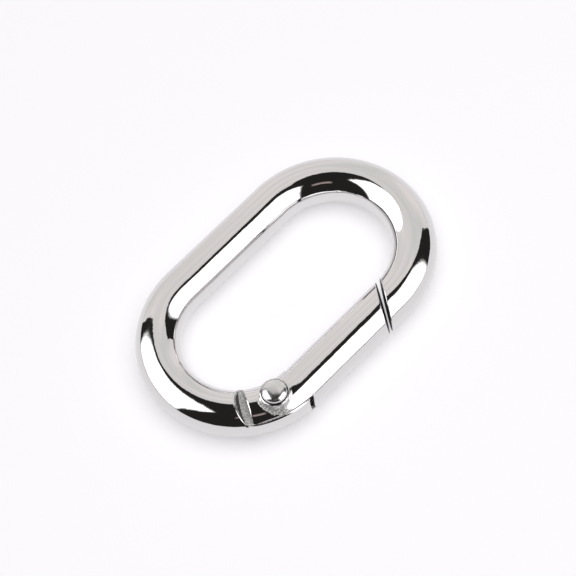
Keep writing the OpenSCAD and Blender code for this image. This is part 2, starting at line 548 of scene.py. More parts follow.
@dataclass(frozen=True)
class Plating:
    """Bright nickel plating, rough where the casting was not polished, and darkened as painted
    shade in some of those zones.

    Attributes:
        name: Name of the finish.
        colour: Colour of the metal seen square on.
        roughness: How much it blurs what it mirrors.
        wave: Height in millimetres and length of the casting's faint waves.
        grain: Height in millimetres and length of the surface's fine grain.
        pivot: Centre of the zones in plan.
        zones: The rough zones, some of them darkened as painted shade.
        pits: Depth in millimetres and length of the pits in them.
        pit_span: Values of the pits' noise at the bottom and at the top of a pit.
        pit_tones: Colours of the metal there.
        dulling: Roughness that the zones add.
        matting: Share of mirroring lost for each unit of a zone's shade above 1.
        ragged: How far in millimetres a zone's round rim wanders, and in what length.
        fading: Degrees in which a zone's ends fade.
    """

    name: str
    colour: tuple[float, float, float] = (0.70, 0.69, 0.69)
    roughness: float = 0.05
    wave: tuple[float, float] = (0.035, 3.4)
    grain: tuple[float, float] = (0.006, 0.9)
    pivot: tuple[float, float] = (-13.573, -11.464)
    zones: tuple[Zone, ...] = ()
    pits: tuple[float, float] = (0.06, 0.2)
    pit_span: tuple[float, float] = (0.36, 0.64)
    pit_tones: tuple[tuple[float, float, float], ...] = ((0.16, 0.15, 0.145), (0.60, 0.59, 0.58))
    dulling: float = 0.38
    matting: float = 2.0
    ragged: tuple[float, float] = (0.25, 0.45)
    fading: float = 12.0

    def build(self) -> bpy.types.Material:
        """Makes the material.

        Returns:
            The material.
        """
        made, tree = painted(self.name)
        place = tree.node("ShaderNodeVectorMath", operation="SCALE")
        tree.link(tree.node("ShaderNodeTexCoord").outputs["Object"], place.inputs[0])
        place.inputs["Scale"].default_value = 1 / MM
        where = place.outputs[0]
        shader = tree.node("ShaderNodeBsdfPrincipled")
        shader.inputs["Metallic"].default_value = 1.0
        shader.inputs["Base Color"].default_value = (*self.colour, 1.0)
        shader.inputs["Roughness"].default_value = self.roughness
        heights = []
        for (depth, length), detail in ((self.wave, 1.0), (self.grain, 2.0)):
            noise = tree.noise(where, 1 / length, detail)
            heights.append(tree.math("MULTIPLY", noise, depth * MM))
        height = tree.math("ADD", *heights)
        if self.zones:
            height = tree.math("ADD", height, self.roughen_and_shade(tree, where, shader))
        bump = tree.node("ShaderNodeBump")
        bump.inputs["Distance"].default_value = 1.0
        tree.link(height, bump.inputs["Height"])
        tree.link(bump.outputs[0], shader.inputs["Normal"])
        tree.show(shader)
        return made

    def roughen_and_shade(
        self, tree: NodeTree, where: bpy.types.NodeSocket, shader: bpy.types.Node
    ) -> bpy.types.NodeSocket:
        """Dulls the metal in the rough zones, and darkens its colour as painted shade where a
        zone's shade is below 1.

        Args:
            tree: The material's nodes.
            where: Socket with the place in millimetres.
            shader: The metal, whose colour, roughness and mirroring it changes.

        Returns:
            A socket with the height of the pits.
        """
        depth, length = self.pits
        rough, shade = self.mask(tree, where)
        pit = tree.ramp(tree.noise(where, 1 / length, FINE), *self.pit_span, Ease.STRAIGHT)
        # Painted shade: the pits' tones are scaled towards black by the zones' shade
        shaded_pit_tone = tree.mix(shade, BLACK, tree.mix(pit, *self.pit_tones))
        tree.link(tree.mix(rough, self.colour, shaded_pit_tone), shader.inputs["Base Color"])
        roughness = tree.math("MULTIPLY_ADD", rough, self.dulling, self.roughness)
        tree.link(roughness, shader.inputs["Roughness"])
        matt = tree.math("MAXIMUM", tree.math("SUBTRACT", shade, 1.0), 0.0)
        mirroring = tree.math("MULTIPLY_ADD", matt, -self.matting, 1.0)
        tree.link(mirroring, shader.inputs["Metallic"])
        return tree.math("MULTIPLY", tree.math("MULTIPLY", pit, depth * MM), rough)

    def mask(self, tree: NodeTree, where: bpy.types.NodeSocket) -> tuple[object, object]:
        """Adds the nodes that are 1 in the rough zones and 0 elsewhere.

        Args:
            tree: The material's nodes.
            where: Socket with the place in millimetres.

        Returns:
            A socket for the zones and one for how light the metal is in them, which is painted
            shade where it is below 1.
        """
        axes = tree.node("ShaderNodeSeparateXYZ")
        tree.link(where, axes.inputs[0])
        x = tree.math("SUBTRACT", axes.outputs[0], self.pivot[0])
        y = tree.math("SUBTRACT", axes.outputs[1], self.pivot[1])
        squares = [tree.math("MULTIPLY", side, side) for side in (x, y)]
        reach = tree.math("SQRT", tree.math("ADD", *squares))
        wander, length = self.ragged
        ragged = tree.math("MULTIPLY_ADD", tree.noise(where, 1 / length, FINE), 2 * wander, reach)
        ragged = tree.math("SUBTRACT", ragged, wander)
        total: object = 0.0
        shade: object = 1.0
        for zone in self.zones:
            steps = [(value, edge, way * zone.soft)
                     for value, span in ((ragged, zone.reach), (axes.outputs[2], zone.height))
                     for edge, way in zip(span, (1.0, -1.0))]
            share: object = 1.0
            for value, edge, soft in steps:
                share = tree.math("MULTIPLY", tree.ramp(value, edge - soft, edge + soft), share)
            if zone.spread < HALF_TURN:
                turn = math.radians(zone.facing)
                aside = tree.math("MULTIPLY", y, math.sin(turn))
                ahead = tree.math("MULTIPLY_ADD", x, math.cos(turn), aside)
                rim, core = (math.cos(math.radians(zone.spread + way * self.fading))
                             for way in (1, -1))
                turned = tree.ramp(tree.math("DIVIDE", ahead, reach), rim, core)
                share = tree.math("MULTIPLY", turned, share)
            if zone.plane:
                *way, level = zone.plane
                beyond = tree.ramp(tree.along(where, way), level - zone.soft, level + zone.soft)
                share = tree.math("MULTIPLY", beyond, share)
            total = tree.math("MAXIMUM", share, total)
            change = tree.math("SUBTRACT", zone.shade, shade)
            shade = tree.math("MULTIPLY_ADD", share, change, shade)
        return total, shade


def smooth(value: np.ndarray) -> np.ndarray:
    """Eases from 0 to 1: 3 t squared less 2 t cubed, with t held between 0 and 1."""
    t = np.clip(value, 0.0, 1.0)
    return t * t * (3.0 - 2.0 * t)


def joined(*stretches: np.ndarray) -> np.ndarray:
    """Joins stretches of one line, each starting where the last one ends."""
    return np.concatenate([s[:-1] for s in stretches[:-1]] + [stretches[-1]])


def corner_arc(start: np.ndarray, corner: np.ndarray, end: np.ndarray, steps: int) -> np.ndarray:
    """Rounds a corner.

    Each row is the conic through start and end whose tangents meet in the corner: the
    weighted mean of the three points, with weights (1 - t) squared, root 2 times
    t (1 - t), and t squared. On a square corner with equal legs that is a circle.

    Args:
        start: Points before the corner, one for each column.
        corner: The sharp corner's points.
        end: Points after the corner.
        steps: Number of stretches in the arc.

    Returns:
        The rows of points from start to end.
    """
    t = np.linspace(0.0, 1.0, steps + 1)[:, None, None]
    first, middle, last = (1 - t) ** 2, math.sqrt(2) * t * (1 - t), t**2
    return (first * start + middle * corner + last * end) / (first + middle + last)


def unit(ways: np.ndarray) -> np.ndarray:
    """Scales each row to a length of 1."""
    return ways / np.linalg.norm(ways, axis=1, keepdims=True)


def spread(*stops: float, counts: tuple[int, ...]) -> np.ndarray:
    """Spaces angles between stops, each stretch evenly in its own number of steps.

    Args:
        *stops: Angles in radians.
        counts: Number of steps in each stretch.

    Returns:
        The angles, without the last stop.
    """
    stretches = zip(stops, stops[1:], counts)
    return np.concatenate([np.linspace(a, b, n + 1)[:-1] for a, b, n in stretches])


def between(first: object, last: object, count: int) -> np.ndarray:
    """Spaces rows evenly from one place to another.

    Args:
        first: Where they start, a number or an array.
        last: Where they stop.
        count: Number of rows, with the first and the last.

    Returns:
        The rows.
    """
    step = last - first
    share = np.linspace(0, 1, count).reshape(-1, *(1,) * np.ndim(step))
    return first + share * step


def at_height(plan: np.ndarray, height: float) -> np.ndarray:
    """Gives points in plan one height."""
    return np.column_stack([plan, np.full(len(plan), height)])


def spun(centre: np.ndarray, profile: np.ndarray, spokes: np.ndarray) -> np.ndarray:
    """Turns a profile of radius and height about an upright axis.

    Args:
        centre: The axis in plan.
        profile: Pairs of radius and height.
        spokes: Directions in plan, one for each column.

    Returns:
        A row of points for each pair.
    """
    plan = centre + profile[:, :1, None] * spokes
    height = np.broadcast_to(profile[:, 1, None, None], (len(profile), len(spokes), 1))
    return np.concatenate([plan, height], axis=-1)


@dataclass(frozen=True)
class Bar:
    """The round bar that the ring and the gate are parts of, bent to an oval.

    A place on it has a way, the distance along its axis from the start of the gate's
    straight side, growing towards the nose, and an angle round it, 0 on the outside of
    the ring and 90 degrees on top.

    Attributes:
        radius: Radius of the bar.
        bend: Radius of the bends' axis.
        half: Half the length of the straight sides.
        back: Angle of the hinge bend between the pivot and the straight side.
        cheek: Distance from the pivot to the flat ends of the cheeks.
        nose_back: Distance from the end of the straight side to the gate's end face.
        slant: Slant of the nose.
        flank_steps: Steps round the bar down each flank of the tongue or slot.
        top_steps: Steps round the bar over the top, and as many below.
    """

    radius: float = 3.4
    bend: float = 12.2
    half: float = 9.4
    back: float = math.radians(20.0)
    cheek: float = 4.2
    nose_back: float = 1.65
    slant: float = math.radians(34.0)
    flank_steps: int = 16
    top_steps: int = 40

    @property
    def pivot(self) -> np.ndarray:
        """The hinge's axis in plan."""
        x = -self.half - self.bend * math.sin(self.back)
        return np.array([x, -self.bend * math.cos(self.back)])

    @property
    def hinge_dir(self) -> float:
        """Direction from the pivot to the cheeks' ends, in radians."""
        return math.pi - self.back - math.asin(self.cheek / (2 * self.bend))

    @property
    def face_level(self) -> float:
        """Distance of the gate's end face from the origin, square to the face."""
        x = self.half - self.nose_back
        return x * math.cos(self.slant) + self.bend * math.sin(self.slant)

    def plan(self, way: np.ndarray, out: np.ndarray) -> np.ndarray:
        """Places points in plan.

        On a straight side, way is laid off along X. On a bend the point stands at the
        radius out, turned by the way divided by the radius of the bar's axis.

        Args:
            way: Distance along the bar's axis.
            out: Distance from the ring's long axis, or from the bend's centre.

        Returns:
            X and Y of each point.
        """
        h, lap = self.half, math.pi * self.bend
        way, out = np.broadcast_arrays(np.mod(way, 4 * h + 2 * lap), out)
        nose = (way - 2 * h) / self.bend
        far = way - 2 * h - lap
        hinge = (way - 4 * h - lap) / self.bend
        part = [way < 2 * h, nose < math.pi, far < 2 * h]
        x = np.select(part, [way - h, h + out * np.sin(nose), h - far], -h - out * np.sin(hinge))
        y = np.select(part, [-out, -out * np.cos(nose), out], out * np.cos(hinge))
        return np.stack([x, y], axis=-1)

    def skin(
        self, way: np.ndarray, angle: np.ndarray, radius: float | np.ndarray | None = None
    ) -> np.ndarray:
        """Places points on the bar, at the radius times the cosine of the angle outwards
        from its axis and at the radius times the sine above it.

        Args:
            way: Distance along the bar's axis.
            angle: Angle round the bar in radians.
            radius: Distance from the axis, the bar's own where none is given.

        Returns:
            The points.
        """
        radius = self.radius if radius is None else radius
        way, angle = np.broadcast_arrays(way, angle)
        plan = self.plan(way, self.bend + radius * np.cos(angle))
        height = self.radius + radius * np.sin(angle)
        return np.concatenate([plan, np.broadcast_to(height, way.shape)[..., None]], axis=-1)

    def around(self, crease: float) -> np.ndarray:
        """Spaces angles round the whole bar so that some fall on four creases.

        Args:
            crease: Angle of the first crease above the bar's middle.

        Returns:
            The angles.
        """
        stops = (-crease, crease, math.pi - crease, math.pi + crease, 2 * math.pi - crease)
        return spread(*stops, counts=(self.flank_steps, self.top_steps) * 2)

    def about(self, radius: float, turn: np.ndarray) -> np.ndarray:
        """Points in plan at a radius and the given turns about the pivot."""
        return self.pivot + radius * np.stack([np.cos(turn), np.sin(turn)], axis=-1)

    def turn_of(self, plan: np.ndarray) -> np.ndarray:
        """Turn about the pivot of each point."""
        return np.arctan2(plan[:, 1] - self.pivot[1], plan[:, 0] - self.pivot[0])

    def facing(self, sign: int, points: np.ndarray) -> np.ndarray:
        """Keeps points where the sign is 1, and mirrors them about the bar's middle at -1."""
        lift = np.array([0.0, 0.0, self.radius - sign * self.radius])
        return points * np.array([1.0, 1.0, sign]) + lift

    def lifted(self, plan: np.ndarray) -> np.ndarray:
        """Raises points in plan to the bar's upper skin: the height above the axis is the
        root of the radius squared less the distance from the axis squared."""
        beyond = np.maximum(np.abs(plan[..., 0]) - self.half, 0.0)
        aside = np.hypot(beyond, plan[..., 1]) - self.bend
        height = self.radius + np.sqrt(np.maximum(self.radius**2 - aside**2, 0.0))
        return np.concatenate([plan, height[..., None]], axis=-1)

    def normal(self, points: np.ndarray) -> tuple[np.ndarray, np.ndarray]:
        """Finds how far points are from the bar's skin, and the skin's direction there.

        Args:
            points: The points.

        Returns:
            The distances, and the unit vectors square to the skin.
        """
        beyond = points[:, 0] - np.clip(points[:, 0], -self.half, self.half)
        run = np.hypot(beyond, points[:, 1])
        aside, above = run - self.bend, points[:, 2] - self.radius
        from_axis = np.hypot(aside, above)
        way = np.stack([aside * beyond / run, aside * points[:, 1] / run, above], axis=1)
        return from_axis - self.radius, way / np.maximum(from_axis, NOT_ZERO)[:, None]

    def way_at_circle(self, out: np.ndarray, radius: float, towards: int) -> np.ndarray:
        """Finds where a circle about the pivot crosses the bar.

        On the bend, the cosine of the turn from the pivot follows from the triangle of
        the bend's centre, the pivot and the crossing. Past the bend, the crossing is at
        the root of the radius squared less the distance across squared.

        Args:
            out: Distances from the ring's long axis or the bend's centre.
            radius: Radius of the circle.
            towards: -1 for the crossing on the ring's side, 1 for the gate's.

        Returns:
            The crossing's way for each out.
        """
        b = self.bend
        turn = np.arccos((out**2 + b**2 - radius**2) / (2 * out * b))
        bent = b * (towards * turn - self.back)
        across = -out - self.pivot[1]
        straight = self.pivot[0] + self.half + np.sqrt(np.maximum(radius**2 - across**2, 0.0))
        return np.where(bent > 0, straight, bent)

    def way_at_cheek(self, out: np.ndarray, distance: float) -> np.ndarray:
        """Finds where a plane square to the cheeks crosses the bar.

        Seen from the bend's centre, the plane's distance over out is the cosine of the
        angle between the crossing and the cheeks' direction.

        Args:
            out: Distances from the bend's centre.
            distance: Distance of the plane from the pivot.

        Returns:
            The crossing's way for each out.
        """
        level = distance + self.bend * math.cos(math.pi * 1.5 - self.back - self.hinge_dir)
        return self.bend * (self.hinge_dir + np.arccos(level / out) - math.pi * 1.5)

    def way_at_slant(self, out: np.ndarray, level: float | np.ndarray) -> np.ndarray:
        """Finds where a plane slanted as the nose crosses the bar.

        On the straight side, X is the level less out times the slant's sine, over its
        cosine. On the bend, the sine of turn plus slant is the level, less the half
        length times the slant's cosine, over out.

        Args:
            out: Distances from the ring's long axis or the bend's centre.
            level: Distance of the plane from the origin, square to it.

        Returns:
            The crossing's way for each out.
        """
        cosine = math.cos(self.slant)
        x = (level - out * math.sin(self.slant)) / cosine
        turn = np.arcsin((level - self.half * cosine) / out) - self.slant
        return np.where(x < self.half, x + self.half, 2 * self.half + turn * self.bend)

    def end_rows(
        self, level: float, into: int, angles: np.ndarray, edge: float, draft: float
    ) -> tuple[np.ndarray, np.ndarray]:
        """Makes the rounded end of the bar at a slanted face.

        At the angle t of the rounding, the ring of points is smaller than the bar by the
        edge times one less cosine t, and one less sine t times the edge behind the face.
        Rings on the face itself lead to its middle. The face leans back by the draft
        from the bar's underside to its top.

        Args:
            level: Distance of the face's foot from the origin, square to it.
            into: Side of the face with the metal, 1 towards the nose and -1 away.
            angles: Angles round the bar.
            edge: Radius of the rounding.
            draft: How far the face's top stands behind its foot.

        Returns:
            The rings of points from the face's middle to the bar's skin, and the way of
            the last ring.
        """
        turn = np.linspace(0.5 * math.pi, 0.0, 9)
        flat = (self.radius - edge) * np.array(FACE_RINGS)
        radius = np.concatenate([flat, self.radius - edge * (1 - np.cos(turn))])[:, None]
        depth = np.concatenate([np.zeros(len(flat)), edge * (1 - np.sin(turn))])[:, None]
        depth = depth + draft * 0.5 * (1 + radius * np.sin(angles) / self.radius)
        way = self.way_at_slant(self.bend + radius * np.cos(angles), level + into * depth)
        return self.skin(way, np.broadcast_to(angles, way.shape), radius), way[-1]


class Shell:
    """Gathers patches of points and welds them into one closed mesh."""

    def __init__(self, name: str) -> None:
        """Starts an empty shell.

        Args:
            name: Name of the piece.
        """
        self.name = name
        self.points: list[np.ndarray] = []
        self.faces: list[np.ndarray] = []
        self.size = 0

    def grid(self, rows: np.ndarray, closed: bool = False) -> None:
        """Adds a patch, a quad between each four neighbours of a grid.

        Args:
            rows: Points in rows and columns.
            closed: Whether the last column meets the first.
        """
        count = rows.shape[0] * rows.shape[1]
        index = self.size + np.arange(count).reshape(rows.shape[:2])
        if closed:
            index = np.concatenate([index, index[:, :1]], axis=1)
        upper, lower = index[:-1], index[1:]
        quads = np.stack([upper[:, :-1], lower[:, :-1], lower[:, 1:], upper[:, 1:]], axis=-1)
        self.points.append(rows.reshape(-1, 3))
        self.faces.append(quads.reshape(-1, 4))
        self.size += count

    def build(self, bar: Bar | None = None) -> bpy.types.Object:
        """Welds the patches, turns the faces outwards and smooths them.

        Args:
            bar: A bar whose exact direction the points on its skin take over.

        Returns:
            The finished object.
        """
        mesh = bpy.data.meshes.new(self.name)
        points = np.concatenate(self.points) * MM
        mesh.from_pydata(points.tolist(), [], np.concatenate(self.faces).tolist())
        soft = bmesh.new()
        soft.from_mesh(mesh)
        bmesh.ops.remove_doubles(soft, verts=soft.verts, dist=WELD)
        bmesh.ops.dissolve_degenerate(soft, dist=SLIVER, edges=soft.edges)
        bmesh.ops.recalc_face_normals(soft, faces=soft.faces)
        soft.to_mesh(mesh)
        soft.free()
        mesh.polygons.foreach_set("use_smooth", np.ones(len(mesh.polygons), dtype=bool))
        mesh.set_sharp_from_angle(angle=math.radians(SHARP))
        if bar is not None:
            self.take_over(mesh, bar)
        return placed(self.name, mesh)

    @staticmethod
    def take_over(mesh: bpy.types.Mesh, bar: Bar) -> None:
        """Gives the corners that lie on the bar's skin the skin's exact direction.

        Args:
            mesh: The welded mesh.
            bar: The bar.
        """
        count = len(mesh.loops)
        vertex = np.empty(count, dtype=np.int32)
        mesh.loops.foreach_get("vertex_index", vertex)
        place = np.empty(len(mesh.vertices) * 3, dtype=np.float32)
        mesh.vertices.foreach_get("co", place)
        face_way = np.empty(count * 3, dtype=np.float32)
        mesh.corner_normals.foreach_get("vector", face_way)
        face_way = face_way.reshape(-1, 3)
        distance, skin_way = bar.normal(place.reshape(-1, 3).astype(float) / MM)
        distance, skin_way = distance[vertex], skin_way[vertex]
        with_skin = np.sum(skin_way * face_way, axis=1) > math.cos(math.radians(WITH_SKIN))
        near = (np.abs(distance) < ON_SKIN) & with_skin
        mesh.normals_split_custom_set(np.where(near[:, None], skin_way, face_way).tolist())


@dataclass(frozen=True)
class RingBody:
    """The cast ring with its nose, hollow shoulder and tongue.

    Attributes:
        bar: The bar that it is made of.
        tongue: Half the tongue's thickness.
        tongue_end: Radius of the tongue's round end about the pivot.
        seat: Distance from the pivot to the flat for the spring.
        shoulder: Radius of the hollow shoulder about the pivot.
        bore: Radius of the bore for the rivet.
        nose_gap: Distance of the nose's face from the bar's face level.
        nose_edge: Rounding of the nose's edge.
        nose_draft: How far the top of the nose's face leans back.
        shoulder_edge: Rounding of the shoulder's edge.
        lean: Distance by which the shoulder's wall leans into the hollow.
        lip_edge: Rounding of the tongue's outer corner.
        crease_edge: Rounding of the tongue's upper outer edge.
        under_edge: Rounding of the tongue's lower outer edge.
        crease_fades: Shares of the flank's length in which these two fade at its ends.
        nose_stretch: Length past the straight side in which the nose's slant evens out.
        shoulder_stretch: Length before the pivot's bend in which the shoulder's does.
        rows: Rows of points by the nose, along the bar and by the shoulder.
        flank_rows: Rows of points along the tongue's flanks.
    """

    bar: Bar
    tongue: float = 1.8
    tongue_end: float = 4.75
    seat: float = 3.9
    shoulder: float = math.hypot(4.2, 3.4) + 0.4
    bore: float = 1.25
    nose_gap: float = 0.27
    nose_edge: float = 0.2
    nose_draft: float = 0.1
    shoulder_edge: float = 0.3
    lean: float = 0.55
    lip_edge: float = 0.4
    crease_edge: float = 0.25
    under_edge: float = 0.8
    crease_fades: tuple[float, float] = (0.14, 0.12)
    nose_stretch: float = 6.0
    shoulder_stretch: float = 14.0
    rows: tuple[int, int, int] = (31, 221, 25)
    flank_rows: int = 41

    @property
    def crease(self) -> float:
        """Angle round the bar at which the tongue's flats begin."""
        return math.asin(self.tongue / self.bar.radius)

    def build(self) -> bpy.types.Object:
        """Makes the piece.

        Returns:
            The finished object.
        """
        shell = Shell("cast_ring")
        self.add_bar(shell)
        self.add_tongue(shell)
        return shell.build(self.bar)

    def add_bar(self, shell: Shell) -> None:
        """Adds the nose and the bar up to the hollow shoulder.

        Args:
            shell: Takes the patches.
        """
        bar, angles = self.bar, self.bar.around(self.crease)
        out = bar.bend + bar.radius * np.cos(angles)
        level = bar.face_level + self.nose_gap
        face, start = bar.end_rows(level, 1, angles, self.nose_edge, self.nose_draft)
        shell.grid(face, closed=True)
        whole = 4 * bar.half + 2 * math.pi * bar.bend
        crest = whole + bar.way_at_circle(out, self.shoulder, -1)
        end = crest - self.edge_at(angles) * bar.bend / out
        near, far = 2 * bar.half + self.nose_stretch, whole - self.shoulder_stretch
        way = np.concatenate([
            between(start, near, self.rows[0])[:-1],
            np.linspace(near, far, self.rows[1])[:-1, None] + 0 * start,
            between(far, end, self.rows[2])])
        shell.grid(bar.skin(way, np.broadcast_to(angles, way.shape)), closed=True)

    def edge_at(self, angle: np.ndarray) -> np.ndarray:
        """Rounding of the shoulder's edge, smaller where the shoulder is low.

        Args:
            angle: Angles round the bar.

        Returns:
            The rounding at each angle.
        """
        height = self.bar.radius * np.abs(np.sin(angle)) - self.tongue
        return np.clip(LOW_WALL_SHARE * height, 0.0, self.shoulder_edge)

    def add_tongue(self, shell: Shell) -> None:
        """Adds the shoulder's wall and the tongue, and the same again mirrored below.

        Args:
            shell: Takes the patches.
        """
        bar, c = self.bar, self.crease
        half = np.linspace(c, -c, bar.flank_steps + 1)
        outer, fold, over, under = self.flank(half, Flank.OUTER, self.crease_edge, self.under_edge)
        inner = self.flank(half, Flank.INNER, 0.0, 0.0)[0]
        shell.grid(outer)
        shell.grid(inner)
        end = self.add_end(shell, half, outer, inner)
        foot, walls = self.shoulder_wall()
        # The flats and the bore between them
        rims = []
        for sign, column, edge in ((1, 0, over), (-1, -1, under)):
            loop = joined(foot, inner[:, 0], end[::-1, 0], edge[::-1])[:-1]
            spoke = unit(loop[:, :2] - bar.pivot)
            rim = np.column_stack([bar.pivot + self.bore * spoke, loop[:, 2]])
            flat = between(rim, loop, 6)
            crease = corner_arc(bar.facing(sign, outer[:, column]), fold, edge, 6)
            for patch in (*walls, crease):
                shell.grid(bar.facing(sign, patch))
            shell.grid(bar.facing(sign, flat), closed=True)
            rims.append(bar.facing(sign, rim))
        shell.grid(np.stack(rims), closed=True)

    def shoulder_wall(self) -> tuple[np.ndarray, list[np.ndarray]]:
        """Makes the shoulder's upper half: its rounded edge, then down to the tongue.

        Returns:
            The wall's foot on the tongue's flat, and the patches.
        """
        bar, c = self.bar, self.crease
        top = bar.radius + self.tongue
        angle = np.linspace(c, math.pi - c, bar.top_steps + 1)
        out = bar.bend + bar.radius * np.cos(angle)
        edge = self.edge_at(angle)
        way = bar.way_at_circle(out, self.shoulder, -1)
        crest = bar.skin(way, angle)
        drop = crest - edge[:, None] * np.array([0.0, 0.0, 1.0])
        high = (crest[:, 2:] - top) / (bar.radius - self.tongue)
        inwards = 1 - self.lean * high / self.shoulder
        foot = at_height(bar.pivot + inwards * (crest[:, :2] - bar.pivot), top)
        rounded = corner_arc(bar.skin(way - edge * bar.bend / out, angle), crest, drop, 6)
        return foot, [rounded, between(drop, foot, 5)]

    def add_end(
        self, shell: Shell, half: np.ndarray, outer: np.ndarray, inner: np.ndarray
    ) -> np.ndarray:
        """Adds the tongue's end: the lip's rounded corner, the round end and the flat.

        Args:
            shell: Takes the patches.
            half: Angles down the flanks from their upper crease.
            outer: Rows of the outer flank.
            inner: Rows of the inner flank.

        Returns:
            Rows of the end from the lip to the inner flank.
        """
        bar = self.bar
        fade = 1 - (half / self.crease) ** 4
        out = bar.bend + bar.radius * np.cos(half)
        height = bar.radius + bar.radius * np.sin(half)
        sharp = bar.skin(bar.way_at_circle(out, self.tongue_end, 1), half)
        turn = bar.turn_of(sharp) + self.lip_edge * fade / self.tongue_end
        after = np.column_stack([bar.about(self.tongue_end, turn), height])
        shell.grid(corner_arc(outer[-1], sharp, after, 5))
        low = math.sqrt(self.tongue_end**2 - self.seat**2)
        arc = bar.about(self.tongue_end, between(turn, -math.atan2(low, self.seat), 17))
        start_y = bar.pivot[1] - low
        flat_y = start_y + np.linspace(0, 1, 9)[:, None] * (inner[-1][:, 1] - bar.pivot[1] + low)
        flat = np.stack([np.full(flat_y.shape, bar.pivot[0] + self.seat), flat_y], axis=-1)
        end = joined(arc, flat)
        height = np.broadcast_to(height, end.shape[:2])[..., None]
        end = np.concatenate([end, height], axis=-1)
        shell.grid(end)
        return end

    def flank(
        self, half: np.ndarray, side: Flank, top: float, low: float
    ) -> tuple[np.ndarray, np.ndarray, np.ndarray, np.ndarray]:
        """Makes one flank of the tongue, from the shoulder to the tongue's end.

        Args:
            half: Angles down the flank from its upper crease.
            side: Which flank.
            top: Rounding of its upper crease, which fades out at both ends.
            low: Rounding of its lower crease, the same.

        Returns:
            Rows of points that run down the flank, the sharp upper crease's points, and
            the points on the upper flat where the upper and the lower rounding end, the
            lower one mirrored.
        """
        bar, c = self.bar, self.crease
        turn = 1 if side is Flank.OUTER else -1
        share = np.linspace(0, 1, self.flank_rows)
        first, last = self.crease_fades
        fade = smooth(share / first) * smooth((1 - share) / last)
        lean = fade[:, None] / bar.radius * np.array([top, low])
        squeeze = 1 - lean.sum(axis=1, keepdims=True) / (2 * c)
        angle = half * squeeze + (lean[:, 1:] - lean[:, :1]) / 2
        angle = side.value + angle * turn
        rows = bar.skin(self.flank_way(angle, half, side, share[:, None]), angle)
        crease = np.full(len(share), side.value + c * turn)
        way = self.flank_way(crease, np.full(len(share), c), side, share)
        sharp = bar.skin(way, crease)
        out = bar.bend + bar.radius * np.cos(crease)
        over, under = (np.column_stack([bar.plan(way, out - turn * edge * fade), sharp[:, 2]])
                       for edge in (top, low))
        return rows, sharp, over, under

    def flank_way(
        self, angle: np.ndarray, half: np.ndarray, side: Flank, share: np.ndarray
    ) -> np.ndarray:
        """Spaces a flank's rows between the shoulder and the tongue's end.

        Args:
            angle: Angles round the bar.
            half: The same angles counted from the flank's middle, before rounding.
            side: Which flank.
            share: Share of the way from the shoulder.

        Returns:
            The way along the bar of each point.
        """
        bar = self.bar
        out = bar.bend + bar.radius * np.cos(angle)
        start = bar.way_at_circle(out, self.shoulder, -1)
        if side is Flank.OUTER:
            fade = 1 - (half / self.crease) ** 4
            end = bar.way_at_circle(out, self.tongue_end, 1)
            end = end - self.lip_edge * fade * bar.bend / out
        else:
            seat_x = bar.pivot[0] + self.seat
            end = -bar.bend * np.arcsin((-bar.half - seat_x) / out)
        return start + share * (end - start)


